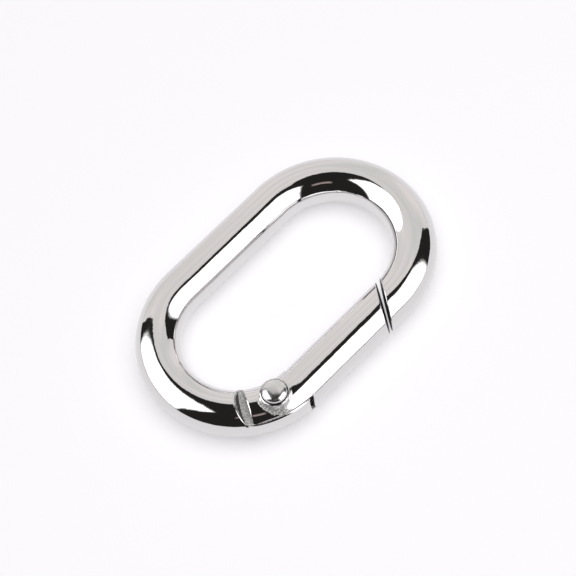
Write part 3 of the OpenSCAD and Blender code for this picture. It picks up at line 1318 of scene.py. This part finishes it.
@dataclass(frozen=True)
class Gate:
    """The cast gate with its cheeks, boss, slot and the bore for the spring.

    Attributes:
        bar: The bar that it is made of.
        slot: Half the slot's height.
        web: Radius of the slot's end about the pivot.
        cheek_edge: Rounding of the cheeks' ends.
        crease_edge: Rounding of the cheeks' long edges.
        crease_fades: Lengths in which this fades at the cheek's and at the slot's end.
        web_edge: Rounding of the slot's upright edges.
        nose_edge: Rounding of the gate's free end.
        nose_draft: How far the top of its end face leans back.
        ahead: How far the foot of that face stands before the bar's face level.
        past_web: Way at which the plain bar starts.
        hole: Radius of the rivet's holes.
        boss: Outer radius of the boss.
        boss_top: Height of the boss's rim.
        rise: Height of the boss's fillet.
        rim_edges: Rounding of the rim's outer and of its inner edge.
        recess: Radius of the recess for the rivet's head.
        recess_z: Height of the recess's bottom.
        foot: Radius at which the boss's fillet starts on the bar.
        spot: Radius of the flat under the tail.
        spot_z: Height of that flat.
        spot_lean: How much wider the flat's wall is where it meets the bar's skin.
        bore: Radius of the spring's bore.
        bore_in: Distance of the bore's axis from the pivot.
        bore_x: X at which the bore ends.
        rows: Rows of points along the plain bar.
        crease_steps: Steps along the cheeks' long edges.
        web_steps: Steps along the bar from the slot's end to the plain bar.
        skin_rows: Rows of points over a cheek, round the boss or the flat below.
        crowding: Power that sets how much closer together the inner ones are.
    """

    bar: Bar
    slot: float = 1.9
    web: float = 5.25
    cheek_edge: float = 0.26
    crease_edge: float = 0.2
    crease_fades: tuple[float, float] = (2.0, 0.7)
    web_edge: float = 0.25
    nose_edge: float = 0.2
    nose_draft: float = 0.6
    ahead: float = 0.09
    past_web: float = 1.7
    hole: float = 1.22
    boss: float = 2.19
    boss_top: float = 7.5
    rise: float = 0.2
    rim_edges: tuple[float, float] = (0.18, 0.035)
    recess: float = 1.97
    recess_z: float = 7.25
    foot: float = 2.4
    spot: float = 1.78
    spot_z: float = 0.5
    spot_lean: float = 0.06
    bore: float = 1.495
    bore_in: float = 0.3
    bore_x: float = 2.35
    rows: int = 61
    crease_steps: int = 36
    web_steps: int = 6
    skin_rows: int = 15
    crowding: float = 1.2

    @property
    def crease(self) -> float:
        """Angle round the bar of the slot's ceiling."""
        return math.asin(self.slot / self.bar.radius)

    def build(self) -> bpy.types.Object:
        """Makes the piece.

        Returns:
            The finished object.
        """
        shell = Shell("cast_gate")
        self.add_sleeve(shell)
        ceiling = self.add_cheeks(shell)
        self.add_web(shell)
        self.add_boss(shell, ceiling)
        return shell.build(self.bar)

    def add_sleeve(self, shell: Shell) -> None:
        """Adds the plain bar from past the slot to the rounded free end.

        Args:
            shell: Takes the patches.
        """
        bar, angles = self.bar, self.bar.around(self.crease)
        level = bar.face_level + self.ahead
        face, end = bar.end_rows(level, -1, angles, self.nose_edge, self.nose_draft)
        shell.grid(face, closed=True)
        way = between(self.past_web, end, self.rows)
        shell.grid(bar.skin(way, np.broadcast_to(angles, way.shape)), closed=True)

    def long_edge(self, side: int) -> tuple[np.ndarray, np.ndarray, np.ndarray, np.ndarray]:
        """Makes the edge where a cheek's skin meets the slot's ceiling.

        Its rounding fades out towards the cheek's end and towards the slot's end.

        Args:
            side: 1 for the outside of the ring and -1 for the inside.

        Returns:
            Points from the cheek's end to the slot's end on the skin, on the sharp edge
            and on the ceiling, and the skin's points on to where the plain bar starts.
        """
        bar, c = self.bar, self.crease
        angle = c if side > 0 else math.pi - c
        out = bar.bend + side * bar.radius * math.cos(c)
        start = float(bar.way_at_cheek(np.array(out), bar.cheek))
        end = float(bar.way_at_circle(np.array(out), self.web, 1))
        way = between(start, end, self.crease_steps + 1)
        first, last = self.crease_fades
        edge = self.crease_edge * smooth((way - start) / first) * smooth((end - way) / last)
        skin = bar.skin(way, angle + side * edge / bar.radius)
        sharp = bar.skin(way, np.full(way.shape, angle))
        under = np.column_stack([bar.plan(way, out - side * edge), sharp[:, 2]])
        rest = between(end, self.past_web, self.web_steps + 1)
        return skin, sharp, under, bar.skin(rest, np.full(rest.shape, angle))

    def add_cheeks(self, shell: Shell) -> np.ndarray:
        """Adds both cheeks' skins, ends, edges and flats.

        Args:
            shell: Takes the patches.

        Returns:
            Directions from the pivot to the ceiling's outline, in the order of its points.
        """
        bar, c = self.bar, self.crease
        top = bar.radius + self.slot
        angle = np.linspace(c, math.pi - c, bar.top_steps + 1)
        out = bar.bend + bar.radius * np.cos(angle)
        high = bar.radius * np.sin(angle) - self.slot
        edge = np.clip(LOW_WALL_SHARE * high, 0.0, self.cheek_edge)
        before = bar.skin(bar.way_at_cheek(out, bar.cheek - edge), angle)
        crest = bar.skin(bar.way_at_cheek(out, np.full(out.shape, bar.cheek)), angle)
        drop = crest - edge[:, None] * np.array([0.0, 0.0, 1.0])
        foot = at_height(crest[:, :2], top)
        skin_o, sharp_o, under_o, rest_o = self.long_edge(1)
        skin_i, sharp_i, under_i, rest_i = self.long_edge(-1)
        patches = [corner_arc(before, crest, drop, 6),
                   between(drop, foot, 5),
                   corner_arc(skin_o, sharp_o, under_o, 5),
                   corner_arc(skin_i, sharp_i, under_i, 5)]
        # The ceiling's outline, and the skin's with as many points
        arc = at_height(self.along_web(sharp_i[-1], sharp_o[-1]), top)
        ceiling = joined(foot, under_i, arc, under_o[::-1])[:-1]
        across = bar.skin(np.full(angle.shape, self.past_web), angle[::-1])
        outline = joined(before, skin_i, rest_i, across, rest_o[::-1], skin_o[::-1])[:-1]
        spokes = unit(ceiling[:, :2] - bar.pivot)
        rim = np.column_stack([bar.pivot + self.hole * spokes, ceiling[:, 2]])
        flat = between(rim, ceiling, 6)
        share = np.linspace(0, 1, self.skin_rows)[:, None, None] ** self.crowding
        for sign, ring in ((1, self.foot), (-1, self.spot + self.spot_lean)):
            for patch in patches:
                shell.grid(bar.facing(sign, patch))
            shell.grid(bar.facing(sign, flat), closed=True)
            inner = bar.pivot + ring * spokes
            skin = bar.lifted(inner + share * (outline[:, :2] - inner))
            skin[-1] = outline
            shell.grid(bar.facing(sign, skin), closed=True)
        return spokes

    def along_web(self, first: np.ndarray, last: np.ndarray) -> np.ndarray:
        """Spaces points in plan along the slot's end.

        Args:
            first: Point on the slot's end at which they start.
            last: Point at which they stop.

        Returns:
            The points.
        """
        turns = self.bar.turn_of(np.array([first, last]))
        count = self.bar.top_steps + 2 * self.web_steps + 1
        return self.bar.about(self.web, np.linspace(turns[0], turns[1], count))

    def add_web(self, shell: Shell) -> None:
        """Adds the flanks past the slot, and the slot's end wall.

        Args:
            shell: Takes the patches.
        """
        bar, c = self.bar, self.crease
        half = np.linspace(c, -c, bar.flank_steps + 1)
        fade = 1 - (half / c) ** 4
        height = bar.radius + bar.radius * np.sin(half)
        walls = []
        for side in (1, -1):
            angle = half if side > 0 else math.pi - half
            out = bar.bend + bar.radius * np.cos(angle)
            start = bar.way_at_circle(out, self.web, 1)
            sharp = bar.skin(start, angle)
            start = start + self.web_edge * fade * bar.bend / out
            way = between(start, self.past_web, self.web_steps + 1)
            rows = bar.skin(way, np.broadcast_to(angle, way.shape))
            turn = bar.turn_of(sharp) + side * self.web_edge * fade / self.web
            wall = np.column_stack([bar.about(self.web, turn), height])
            shell.grid(rows)
            shell.grid(corner_arc(rows[0], sharp, wall, 4))
            walls.append(wall)
        outer, inner = walls
        arc = self.along_web(inner[0], outer[0])
        top, low = (at_height(arc, bar.radius + rise) for rise in (self.slot, -self.slot))
        self.add_bore(shell, joined(top, outer, low[::-1], inner[::-1])[:-1])

    def add_bore(self, shell: Shell, outline: np.ndarray) -> None:
        """Adds the slot's end wall and the spring's bore in it.

        Each point of the bore's mouth is in line with one of the outline's.

        Args:
            shell: Takes the patches.
            outline: Points of the wall's outline.
        """
        bar = self.bar
        axis = np.array([bar.pivot[1] + self.bore_in, bar.radius])
        mouth = axis + self.bore * unit(outline[:, 1:] - axis)
        wall = between(mouth, outline[:, 1:], 9)
        x = bar.pivot[0] + np.sqrt(self.web**2 - (wall[..., 0] - bar.pivot[1]) ** 2)
        shell.grid(np.concatenate([x[..., None], wall], axis=-1), closed=True)
        tube = np.stack([x[0], np.full(len(mouth), self.bore_x)])[..., None]
        tube = np.concatenate([tube, np.broadcast_to(mouth, (2, *mouth.shape))], axis=-1)
        shell.grid(tube, closed=True)
        disc = axis + np.array([1.0, 0.5, 0.0])[:, None, None] * (mouth - axis)
        end_x = np.full((*disc.shape[:2], 1), self.bore_x)
        shell.grid(np.concatenate([end_x, disc], axis=-1), closed=True)

    def add_boss(self, shell: Shell, spokes: np.ndarray) -> None:
        """Adds the boss with its fillet and recess, the holes and the flat below.

        Args:
            shell: Takes the patches.
            spokes: Directions in plan from the pivot, one for each column.
        """
        bar = self.bar
        foot = bar.lifted(bar.pivot + self.foot * spokes)
        root = bar.lifted(bar.pivot + self.boss * spokes)
        fillet = corner_arc(foot, root, root + np.array([0.0, 0.0, self.rise]), 7)
        turn = np.linspace(0.0, 0.5 * math.pi, 5)
        aside, below = 1 - np.cos(turn), 1 - np.sin(turn)
        outer, inner = self.rim_edges
        upper = np.concatenate([
            np.column_stack([self.boss - outer * aside, self.boss_top - outer * below]),
            np.column_stack([self.recess + inner * below, self.boss_top - inner * aside]),
            [[self.recess, self.recess_z], [self.hole, self.recess_z]],
            [[self.hole, bar.radius + self.slot]]])
        shell.grid(np.concatenate([fillet, spun(bar.pivot, upper, spokes)]), closed=True)
        brim = bar.lifted(bar.pivot + (self.spot + self.spot_lean) * spokes)
        lower = np.array([[self.spot, self.spot_z], [self.hole, self.spot_z],
                          [self.hole, bar.radius - self.slot]])
        wall = np.concatenate([bar.facing(-1, brim)[None], spun(bar.pivot, lower, spokes)])
        shell.grid(wall, closed=True)


@dataclass(frozen=True)
class Rivet:
    """The rivet on the hinge's axis.

    Attributes:
        bar: The bar, for the place of the pivot.
        head: Radius of the domed head.
        head_z: Height of the head's underside.
        head_edge: Chamfer of the head's lower edge.
        head_power: Power of the head's dome, as cap() takes it.
        brim: Height of the head's edge.
        dome: Height of the dome above the edge.
        shank: Radius of the shank.
        tail: Radius of the spread tail.
        tail_z: Height of the tail's upper side.
        tail_h: Height of the tail.
        tail_power: Power of the tail's rounding.
        spoke_count: Number of points round the rivet.
    """

    bar: Bar
    head: float = 1.86
    head_z: float = 7.25
    head_edge: float = 0.04
    head_power: float = 3.8
    brim: float = 0.25
    dome: float = 0.8
    shank: float = 1.2
    tail: float = 1.7
    tail_z: float = 0.5
    tail_h: float = 0.4
    tail_power: float = 2.0
    spoke_count: int = 128

    def build(self) -> bpy.types.Object:
        """Makes the piece.

        Returns:
            The finished object.
        """
        shell = Shell("domed_rivet")
        around = np.linspace(0, 2 * math.pi, self.spoke_count + 1)[:-1]
        spokes = np.column_stack([np.cos(around), np.sin(around)])
        profile = np.concatenate([
            [[0.0, self.tail_z - self.tail_h]],
            self.cap(self.tail, self.tail_h, self.tail_power)[::-1] * (1, -1) + (0, self.tail_z),
            [[self.shank, self.tail_z], [self.shank, self.head_z]],
            [[self.head - self.head_edge, self.head_z], [self.head, self.head_z + self.head_edge]],
            self.cap(self.head, self.dome, self.head_power) + (0, self.head_z + self.brim)])
        shell.grid(spun(self.bar.pivot, profile, spokes), closed=True)
        return shell.build()

    @staticmethod
    def cap(radius: float, height: float, power: float) -> np.ndarray:
        """Makes the profile of a pressed cap from its edge to its top.

        The height is the cap's height times the root of one less the share of the
        radius to the given power, so the cap is flat in the middle and steep at its edge.

        Args:
            radius: Radius of the cap.
            height: Height of the cap.
            power: The power, 2 for an ellipse and more for a flatter middle.

        Returns:
            Pairs of radius and height.
        """
        share = np.sin(np.linspace(0.5 * math.pi, 0.0, 37))
        fall = np.sqrt(np.maximum(1 - share**power, 0.0))
        return np.column_stack([radius * share, height * fall])


@dataclass(frozen=True)
class Spring:
    """The coil spring in the gate's bore.

    Attributes:
        bar: The bar, for the place of the pivot.
        seat: Distance from the pivot to the flat that the spring bears on.
        gap: Gap between the spring and the flat.
        end_x: X at which the spring ends.
        aside: Distance of its axis from the pivot.
        wire: Diameter of the wire.
        coil: Radius of the wire's axis.
        turns: Number of turns.
        turn_steps: Steps along the wire in each turn.
        wire_steps: Steps round the wire.
        shut: Sizes of the wire's rings on its end faces, as shares of its radius.
    """

    bar: Bar
    seat: float = 3.9
    gap: float = 0.03
    end_x: float = 2.35
    aside: float = 0.3
    wire: float = 0.45
    coil: float = 1.15
    turns: int = 9
    turn_steps: int = 40
    wire_steps: int = 14
    shut: tuple[float, ...] = (0.0, 0.8, 1.0)

    def build(self) -> bpy.types.Object:
        """Makes the piece.

        The wire's axis is a helix along X whose first and last turn lie close: it gains
        one wire's diameter over each of them and the rest evenly in between.

        Returns:
            The finished object.
        """
        shell = Shell("gate_spring_coil")
        start = self.bar.pivot[0] + self.seat + self.gap + self.wire / 2
        run = self.end_x - self.wire / 2 - start
        turn = np.linspace(0, self.turns, self.turns * self.turn_steps + 1)
        gains = [0, self.wire, run - self.wire, run]
        along = np.interp(turn, [0, 1, self.turns - 1, self.turns], gains)
        around = 2 * math.pi * turn
        axis = np.column_stack([
            start + along, self.bar.pivot[1] + self.aside + self.coil * np.cos(around),
            self.bar.radius + self.coil * np.sin(around)])
        side = np.column_stack([0 * around, np.cos(around), np.sin(around)])
        tip = np.linspace(0, 2 * math.pi, self.wire_steps + 1)[:-1, None]
        last = len(turn) - 1
        rows = np.concatenate([[0, 0, 0], np.arange(1, last), [last] * 3])
        size = np.concatenate([self.shut, np.ones(last - 1), self.shut[::-1]])[:, None, None]
        ring = np.cos(tip) * side[rows][:, None] + np.sin(tip) * np.array([1.0, 0.0, 0.0])
        shell.grid(axis[rows][:, None] + self.wire / 2 * size * ring, closed=True)
        return shell.build()


def main() -> None:
    """Builds the scene in order and logs each piece that it builds."""
    logging.basicConfig(level=logging.INFO, format="%(name)s %(message)s")
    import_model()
    view = Viewpoint()
    view.build()
    Studio(facing=view.azimuth).build()
    Floor().build()
    bpy.context.scene.view_settings.view_transform = "Standard"
    bar = Bar()
    nose, gate = RingBody(bar), Gate(bar)
    # The faces at the nose, which lean back by their draft over the bar's thickness
    across = (math.cos(bar.slant), -math.sin(bar.slant))
    lean = nose.nose_draft / (2 * bar.radius), gate.nose_draft / (2 * bar.radius)
    nose_face = (-across[0], -across[1], lean[0], -bar.face_level - nose.nose_gap - SHADED_BEHIND)
    gate_face = (*across, lean[1], bar.face_level + gate.ahead - SHADED_BEHIND)
    # Painted shade: both faces in the gap at the nose are darkened
    faces = [Zone((18.0, 34.0), (-1.0, 7.0), 0.05, 0.0, 20.0, plane, 0.12)
             for plane in (nose_face, gate_face)]
    # The shoulder's wall, darkened as painted shade; the tongue's matt upper flat; the hollow
    # below the tongue, darkened as painted shade; and the nose's face, darkened as painted shade
    # of the gap
    hollow = (
        Zone((-1.0, 5.72), (5.17, 7.0), 0.02, shade=0.3),
        Zone((-1.0, 5.72), (5.17, 5.3), 0.02, shade=1.45),
        Zone((-1.0, 5.5), (-1.0, 1.98), shade=0.3),
        faces[0])
    # The matt patch at the foot of the boss, the slot's inside, the recess's wall, darkened as
    # painted shade, and the face of the free end, darkened as painted shade of the gap at the nose
    sides = (
        Zone((2.16, 2.7), (5.4, 7.4), 0.06, 212.0, 50.0, shade=1.3),
        Zone((-1.0, 5.2), (1.3, 5.29), 0.02),
        Zone((-1.0, 2.08), (7.0, 7.46), 0.03, shade=0.15),
        faces[1])
    pieces = (
        (nose, "ring_body", "ring", "casting", Plating("ring_nickel", zones=hollow)),
        (gate, "gate", "gate", "casting", Plating("gate_nickel", zones=sides)),
        (Rivet(bar), "hinge_rivet", "gate", "rivet",
         Plating("rivet_satin", roughness=0.2, wave=(0.03, 1.3), grain=(0.004, 0.4))),
        (Spring(bar), "gate_spring", "gate", "spring",
         Plating("spring_wire", (0.5, 0.5, 0.5), 0.3, grain=(0.002, 0.2))),
    )
    for piece, node, body, slot, finish in pieces:
        made = piece.build()
        made.data.materials.append(finish.build())
        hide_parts(node)
        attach(made, body)
        if node == "gate_spring":
            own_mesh(made)
        LOG.info("built %s from %d faces", made.name, len(made.data.polygons))


if __name__ == "__main__":
    main()
